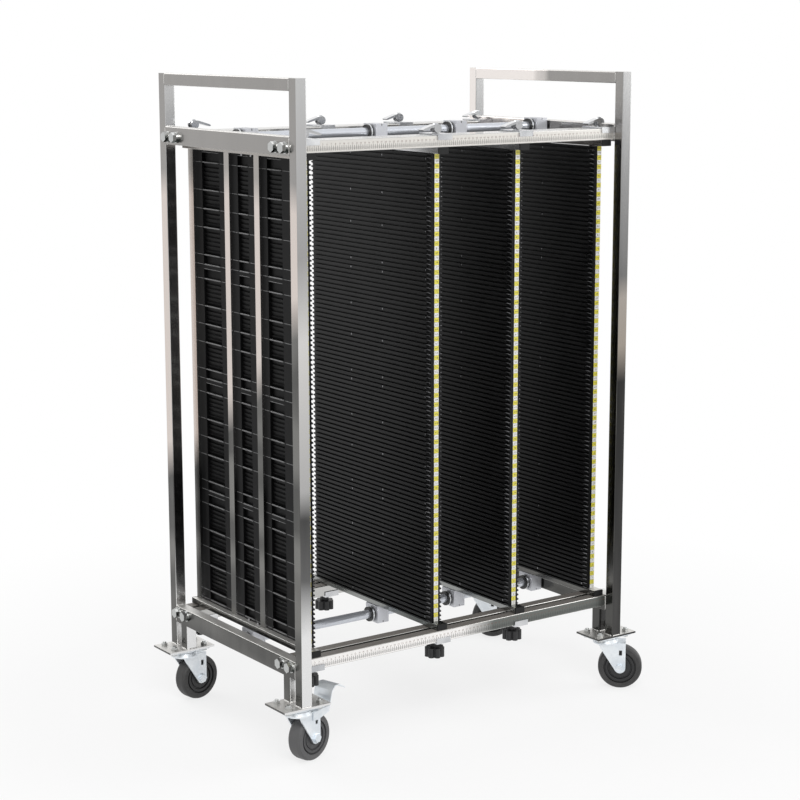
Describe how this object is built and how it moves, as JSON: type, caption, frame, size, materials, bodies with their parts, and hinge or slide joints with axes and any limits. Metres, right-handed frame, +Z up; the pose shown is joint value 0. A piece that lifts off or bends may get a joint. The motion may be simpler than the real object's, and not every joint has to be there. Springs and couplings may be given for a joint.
{
  "type": "esd pcb trolley",
  "caption": "Tall wheeled steel trolley whose slotted black panels slide on guide shafts and clamp to rails, so circuit boards of different widths can be racked between them.",
  "frame": {"origin": "on the floor, below the middle of the frame", "axes": "+X along the trolley to the right as seen from the loading side, +Y from the loading side to the back, +Z up"},
  "size_m": [0.9981, 0.5772, 1.395],
  "materials": {
    "frame_steel": "bright polished stainless tube",
    "shaft_chrome": "ground and chromed shaft",
    "bolt_steel": "bright stainless fasteners",
    "ruler_steel": "satin steel with printed scale",
    "caster_zinc": "bluish white zinc plate",
    "panel_steel": "bright stainless bar",
    "cap_black": "matt black moulding",
    "board_black": "slightly glossy black conductive moulding",
    "screw_steel": "bright steel",
    "label_strip": "printed film in white and yellow cells",
    "block_grey": "light grey anodised",
    "clamp_steel": "bright stainless sheet",
    "cam_chrome": "bright chrome",
    "knob_black": "matt black moulding",
    "wheel_grey": "dark grey conductive rubber"
  },
  "bodies": {
    "frame": {"end_frame_left": "frame_steel", "end_frame_right": "frame_steel", "cross_rails": "frame_steel", "guide_shafts": "shaft_chrome", "frame_bolts": "bolt_steel", "ruler_strips": "ruler_steel", "caster_tops": "caster_zinc", "caster_bolts": "bolt_steel"},
    "panel_a": {"panel_a_frame": "panel_steel", "panel_a_caps": "cap_black", "panel_a_boards": "board_black", "panel_a_screws": "screw_steel", "panel_a_label": "label_strip", "panel_a_bearings": "block_grey", "panel_a_clamps": "clamp_steel"},
    "panel_b": {"panel_b_frame": "panel_steel", "panel_b_caps": "cap_black", "panel_b_boards": "board_black", "panel_b_screws": "screw_steel", "panel_b_label": "label_strip", "panel_b_bearings": "block_grey", "panel_b_clamps": "clamp_steel"},
    "panel_c": {"panel_c_frame": "panel_steel", "panel_c_caps": "cap_black", "panel_c_boards": "board_black", "panel_c_screws": "screw_steel", "panel_c_label": "label_strip", "panel_c_bearings": "block_grey", "panel_c_clamps": "clamp_steel"},
    "panel_d": {"panel_d_frame": "panel_steel", "panel_d_caps": "cap_black", "panel_d_boards": "board_black", "panel_d_screws": "screw_steel", "panel_d_label": "label_strip", "panel_d_bearings": "block_grey", "panel_d_clamps": "clamp_steel"},
    "cam_a_front": {"cam_a_front": "cam_chrome"},
    "cam_a_rear": {"cam_a_rear": "cam_chrome"},
    "cam_b_front": {"cam_b_front": "cam_chrome"},
    "cam_b_rear": {"cam_b_rear": "cam_chrome"},
    "cam_c_front": {"cam_c_front": "cam_chrome"},
    "cam_c_rear": {"cam_c_rear": "cam_chrome"},
    "cam_d_front": {"cam_d_front": "cam_chrome"},
    "cam_d_rear": {"cam_d_rear": "cam_chrome"},
    "knob_a_front": {"knob_a_front": "knob_black"},
    "knob_a_rear": {"knob_a_rear": "knob_black"},
    "knob_b_front": {"knob_b_front": "knob_black"},
    "knob_b_rear": {"knob_b_rear": "knob_black"},
    "knob_c_front": {"knob_c_front": "knob_black"},
    "knob_c_rear": {"knob_c_rear": "knob_black"},
    "swivel_near_left": {"fork_near_left": "caster_zinc"},
    "roll_near_left": {"wheel_near_left": "wheel_grey"},
    "brake_near_left": {"pedal_near_left": "caster_zinc"},
    "swivel_near_right": {"fork_near_right": "caster_zinc"},
    "roll_near_right": {"wheel_near_right": "wheel_grey"},
    "swivel_far_left": {"fork_far_left": "caster_zinc"},
    "roll_far_left": {"wheel_far_left": "wheel_grey"},
    "swivel_far_right": {"fork_far_right": "caster_zinc"},
    "roll_far_right": {"wheel_far_right": "wheel_grey"},
    "brake_far_right": {"pedal_far_right": "caster_zinc"}
  },
  "joints": [
    {"name": "panel_a_slide", "type": "slide", "parent": "frame", "child": "panel_a", "axis": [1, 0, 0], "range_m": [0, 0.13]},
    {"name": "panel_b_slide", "type": "slide", "parent": "frame", "child": "panel_b", "axis": [1, 0, 0], "range_m": [-0.113, 0.077]},
    {"name": "panel_c_slide", "type": "slide", "parent": "frame", "child": "panel_c", "axis": [1, 0, 0], "range_m": [-0.076, 0.092]},
    {"name": "panel_d_slide", "type": "slide", "parent": "frame", "child": "panel_d", "axis": [1, 0, 0], "range_m": [-0.076, 0]},
    {"name": "cam_a_front_turn", "type": "hinge", "parent": "panel_a", "child": "cam_a_front", "pos_m": [-0.378, -0.217, 1.291], "axis": [0, -1, 0], "range_deg": [0, 90]},
    {"name": "cam_a_rear_turn", "type": "hinge", "parent": "panel_a", "child": "cam_a_rear", "pos_m": [-0.378, 0.217, 1.291], "axis": [0, -1, 0], "range_deg": [0, 90]},
    {"name": "cam_b_front_turn", "type": "hinge", "parent": "panel_b", "child": "cam_b_front", "pos_m": [-0.055, -0.217, 1.291], "axis": [0, 1, 0], "range_deg": [0, 90]},
    {"name": "cam_b_rear_turn", "type": "hinge", "parent": "panel_b", "child": "cam_b_rear", "pos_m": [-0.055, 0.217, 1.291], "axis": [0, 1, 0], "range_deg": [0, 90]},
    {"name": "cam_c_front_turn", "type": "hinge", "parent": "panel_c", "child": "cam_c_front", "pos_m": [0.158, -0.217, 1.291], "axis": [0, 1, 0], "range_deg": [0, 90]},
    {"name": "cam_c_rear_turn", "type": "hinge", "parent": "panel_c", "child": "cam_c_rear", "pos_m": [0.158, 0.217, 1.291], "axis": [0, 1, 0], "range_deg": [0, 90]},
    {"name": "cam_d_front_turn", "type": "hinge", "parent": "panel_d", "child": "cam_d_front", "pos_m": [0.386, -0.217, 1.291], "axis": [0, 1, 0], "range_deg": [0, 90]},
    {"name": "cam_d_rear_turn", "type": "hinge", "parent": "panel_d", "child": "cam_d_rear", "pos_m": [0.386, 0.217, 1.291], "axis": [0, 1, 0], "range_deg": [0, 90]},
    {"name": "knob_a_front_turn", "type": "hinge", "parent": "panel_a", "child": "knob_a_front", "pos_m": [-0.378, -0.217, 0.175], "axis": [0, 0, 1], "range_deg": [-180, 180]},
    {"name": "knob_a_rear_turn", "type": "hinge", "parent": "panel_a", "child": "knob_a_rear", "pos_m": [-0.378, 0.217, 0.175], "axis": [0, 0, 1], "range_deg": [-180, 180]},
    {"name": "knob_b_front_turn", "type": "hinge", "parent": "panel_b", "child": "knob_b_front", "pos_m": [-0.055, -0.217, 0.175], "axis": [0, 0, 1], "range_deg": [-180, 180]},
    {"name": "knob_b_rear_turn", "type": "hinge", "parent": "panel_b", "child": "knob_b_rear", "pos_m": [-0.055, 0.217, 0.175], "axis": [0, 0, 1], "range_deg": [-180, 180]},
    {"name": "knob_c_front_turn", "type": "hinge", "parent": "panel_c", "child": "knob_c_front", "pos_m": [0.158, -0.217, 0.175], "axis": [0, 0, 1], "range_deg": [-180, 180]},
    {"name": "knob_c_rear_turn", "type": "hinge", "parent": "panel_c", "child": "knob_c_rear", "pos_m": [0.158, 0.217, 0.175], "axis": [0, 0, 1], "range_deg": [-180, 180]},
    {"name": "swivel_near_left_turn", "type": "hinge", "parent": "frame", "child": "swivel_near_left", "pos_m": [-0.4175, -0.23725, 0.11], "axis": [0, 0, 1], "continuous": true},
    {"name": "wheel_near_left_spin", "type": "hinge", "parent": "swivel_near_left", "child": "roll_near_left", "pos_m": [-0.38578, -0.22815, 0.05], "axis": [-0.2756, 0.9613, 0], "continuous": true},
    {"name": "brake_near_left_press", "type": "hinge", "parent": "swivel_near_left", "child": "brake_near_left", "pos_m": [-0.39059, -0.22953, 0.098], "axis": [-0.2756, 0.9613, 0], "range_deg": [0, 12]},
    {"name": "swivel_near_right_turn", "type": "hinge", "parent": "frame", "child": "swivel_near_right", "pos_m": [0.4175, -0.23725, 0.11], "axis": [0, 0, 1], "continuous": true},
    {"name": "wheel_near_right_spin", "type": "hinge", "parent": "swivel_near_right", "child": "roll_near_right", "pos_m": [0.44202, -0.25933, 0.05], "axis": [0.6691, 0.7431, 0], "continuous": true},
    {"name": "swivel_far_left_turn", "type": "hinge", "parent": "frame", "child": "swivel_far_left", "pos_m": [-0.4175, 0.23725, 0.11], "axis": [0, 0, 1], "continuous": true},
    {"name": "wheel_far_left_spin", "type": "hinge", "parent": "swivel_far_left", "child": "roll_far_left", "pos_m": [-0.38491, 0.24241, 0.05], "axis": [-0.1564, 0.9877, 0], "continuous": true},
    {"name": "swivel_far_right_turn", "type": "hinge", "parent": "frame", "child": "swivel_far_right", "pos_m": [0.4175, 0.23725, 0.11], "axis": [0, 0, 1], "continuous": true},
    {"name": "wheel_far_right_spin", "type": "hinge", "parent": "swivel_far_right", "child": "roll_far_right", "pos_m": [0.44202, 0.21517, 0.05], "axis": [0.6691, 0.7431, 0], "continuous": true},
    {"name": "brake_far_right_press", "type": "hinge", "parent": "swivel_far_right", "child": "brake_far_right", "pos_m": [0.43831, 0.21851, 0.098], "axis": [0.6691, 0.7431, 0], "range_deg": [0, 12]}
  ]
}
